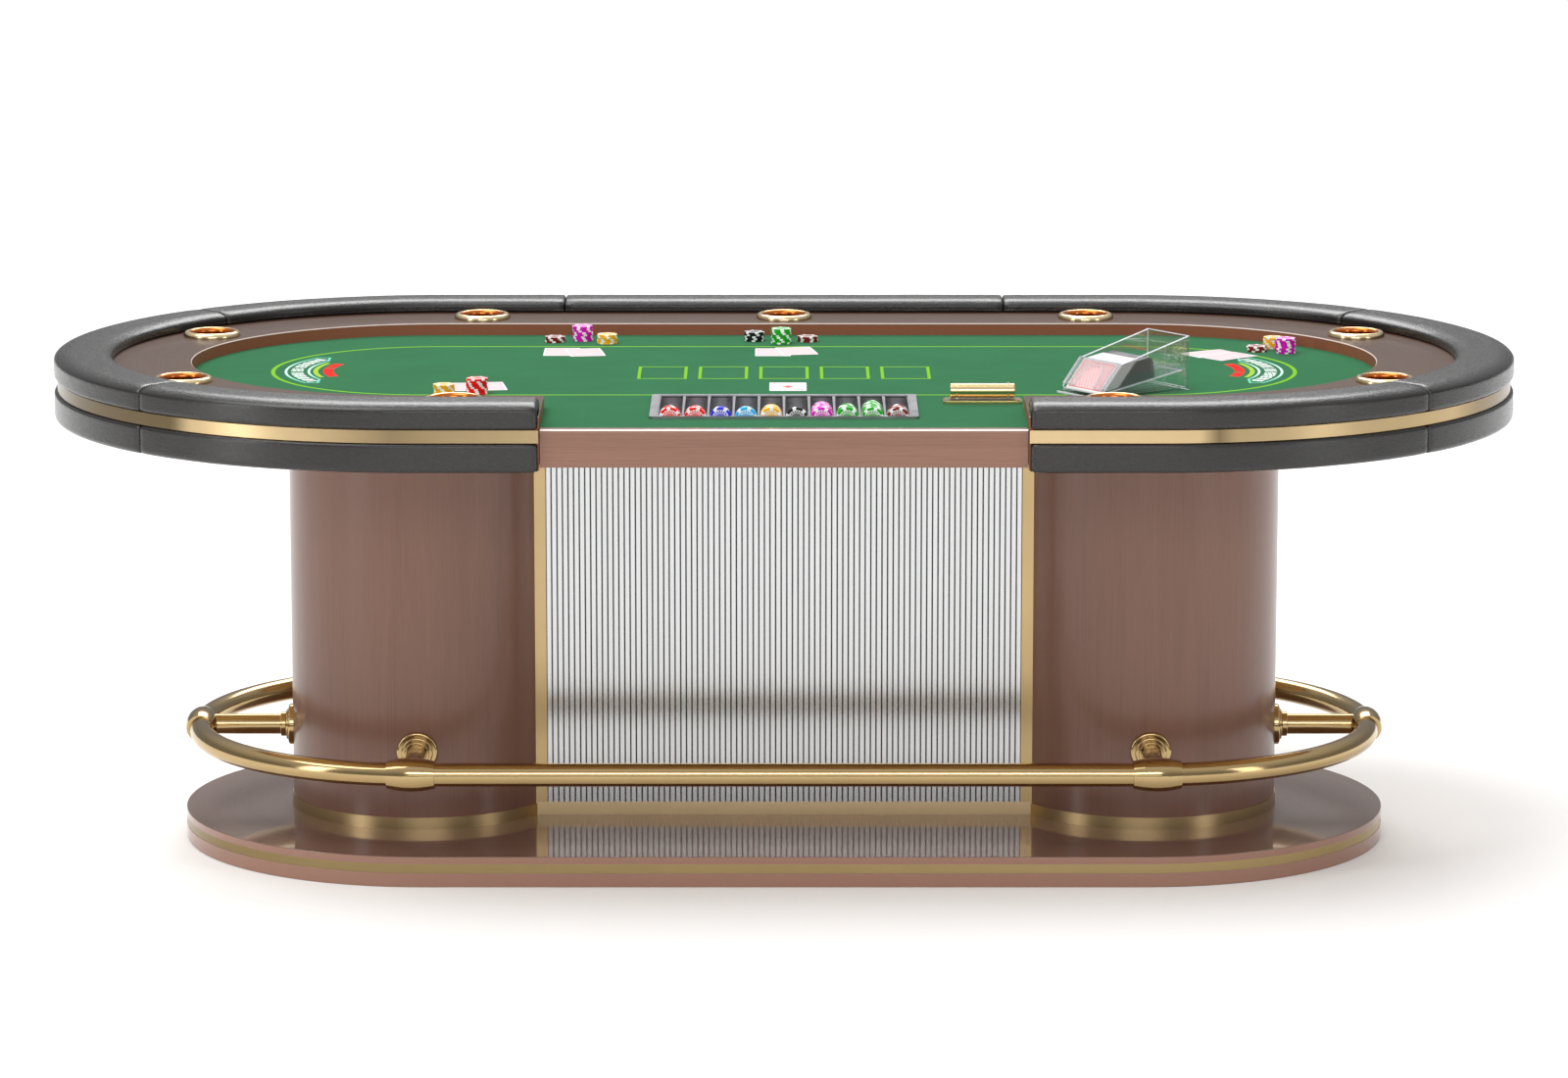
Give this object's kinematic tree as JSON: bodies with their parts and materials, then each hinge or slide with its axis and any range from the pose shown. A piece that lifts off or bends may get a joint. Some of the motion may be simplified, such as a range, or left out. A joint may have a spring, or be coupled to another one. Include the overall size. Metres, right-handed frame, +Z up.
{
  "type": "blackjack table",
  "caption": "Casino card table with a padded armrest, racetrack with cup holders, chip tray, drop slot, card shoe, drum pedestals with fluted panels and a brass foot rail.",
  "frame": {"origin": "on the floor below the middle of the table", "axes": "+Z up, +X along the table's length, -Y towards the dealer"},
  "size_m": [2.6, 1.34, 0.936],
  "materials": {
    "base_veneer": "satin lacquered walnut veneer",
    "plywood": "bare plywood",
    "brass": "brushed brass",
    "rail_brass": "polished brass",
    "drum_veneer": "satin lacquered vertical walnut veneer",
    "steel_bolt": "zinc-plated steel",
    "reeded_metal": "brushed aluminium",
    "felt": "woven speed cloth",
    "rail_veneer": "gloss lacquered walnut veneer",
    "fascia_veneer": "satin lacquered walnut veneer",
    "leather": "fine pebbled black leather",
    "cup_brass": "polished brass, copper inside",
    "tray_metal": "anodised, dark inside",
    "chips": "moulded clay composite",
    "slot_brass": "polished brass",
    "clear_acrylic": "clear polished acrylic",
    "cards": "coated card",
    "wedge_plastic": "satin moulded"
  },
  "bodies": {
    "table": {"plinth_lower_board": "base_veneer", "plinth_core_board": "plywood", "plinth_brass_band": "brass", "plinth_upper_board": "base_veneer", "left_pedestal_shell": "drum_veneer", "right_pedestal_shell": "drum_veneer", "pedestal_base_rings": "brass", "pedestal_formers": "plywood", "pedestal_bolts": "steel_bolt", "front_carcass_board": "plywood", "rear_carcass_board": "plywood", "carcass_ribs": "plywood", "front_reeded_panel": "reeded_metal", "rear_reeded_panel": "reeded_metal", "panel_side_strips": "brass", "panel_base_strips": "brass", "front_rail_tube": "rail_brass", "rear_rail_tube": "rail_brass", "front_left_rail_bend": "rail_brass", "rear_left_rail_bend": "rail_brass", "front_right_rail_bend": "rail_brass", "rear_right_rail_bend": "rail_brass", "rail_sleeves": "rail_brass", "rail_posts": "rail_brass", "rail_collars": "rail_brass", "rail_flanges": "rail_brass", "post_bolts": "steel_bolt", "bed_board": "plywood", "deck_frame": "plywood", "playing_board": "plywood", "felt_layout": "felt", "racetrack_board": "rail_veneer", "rail_apron": "rail_veneer", "dealer_fascia": "fascia_veneer", "rail_brass_band": "brass", "armrest_core": "plywood", "armrest_bolts": "steel_bolt", "upper_pad_back": "leather", "upper_pad_back_left": "leather", "upper_pad_left_end": "leather", "upper_pad_front_left": "leather", "upper_pad_back_right": "leather", "upper_pad_right_end": "leather", "upper_pad_front_right": "leather", "lower_pads": "leather", "cup_holders": "cup_brass", "drop_slot_frame": "slot_brass", "felt_chips": "chips", "felt_cards": "cards"},
    "chip_tray": {"chip_tray": "tray_metal", "tray_chips": "chips"},
    "paddle": {"paddle_blade": "clear_acrylic", "paddle_handle": "slot_brass", "paddle_rings": "clear_acrylic"},
    "card_shoe": {"shoe_case": "clear_acrylic", "shoe_face_plate": "clear_acrylic", "shoe_ramp": "clear_acrylic", "shoe_cards": "cards"},
    "shoe_wedge": {"shoe_wedge": "wedge_plastic"}
  },
  "joints": [
    {"name": "tray_lift", "type": "slide", "parent": "table", "child": "chip_tray", "axis": [0, 0, 1], "range_m": [0, 0.06]},
    {"name": "paddle_lift", "type": "slide", "parent": "table", "child": "paddle", "axis": [0, 0, 1], "range_m": [0, 0.05]},
    {"name": "shoe_lift", "type": "slide", "parent": "table", "child": "card_shoe", "axis": [0, 0, 1], "range_m": [0, 0.05]},
    {"name": "wedge_slide", "type": "slide", "parent": "card_shoe", "child": "shoe_wedge", "axis": [0.7921, 0.5926, 0.1461], "range_m": [0, 0.05]}
  ]
}
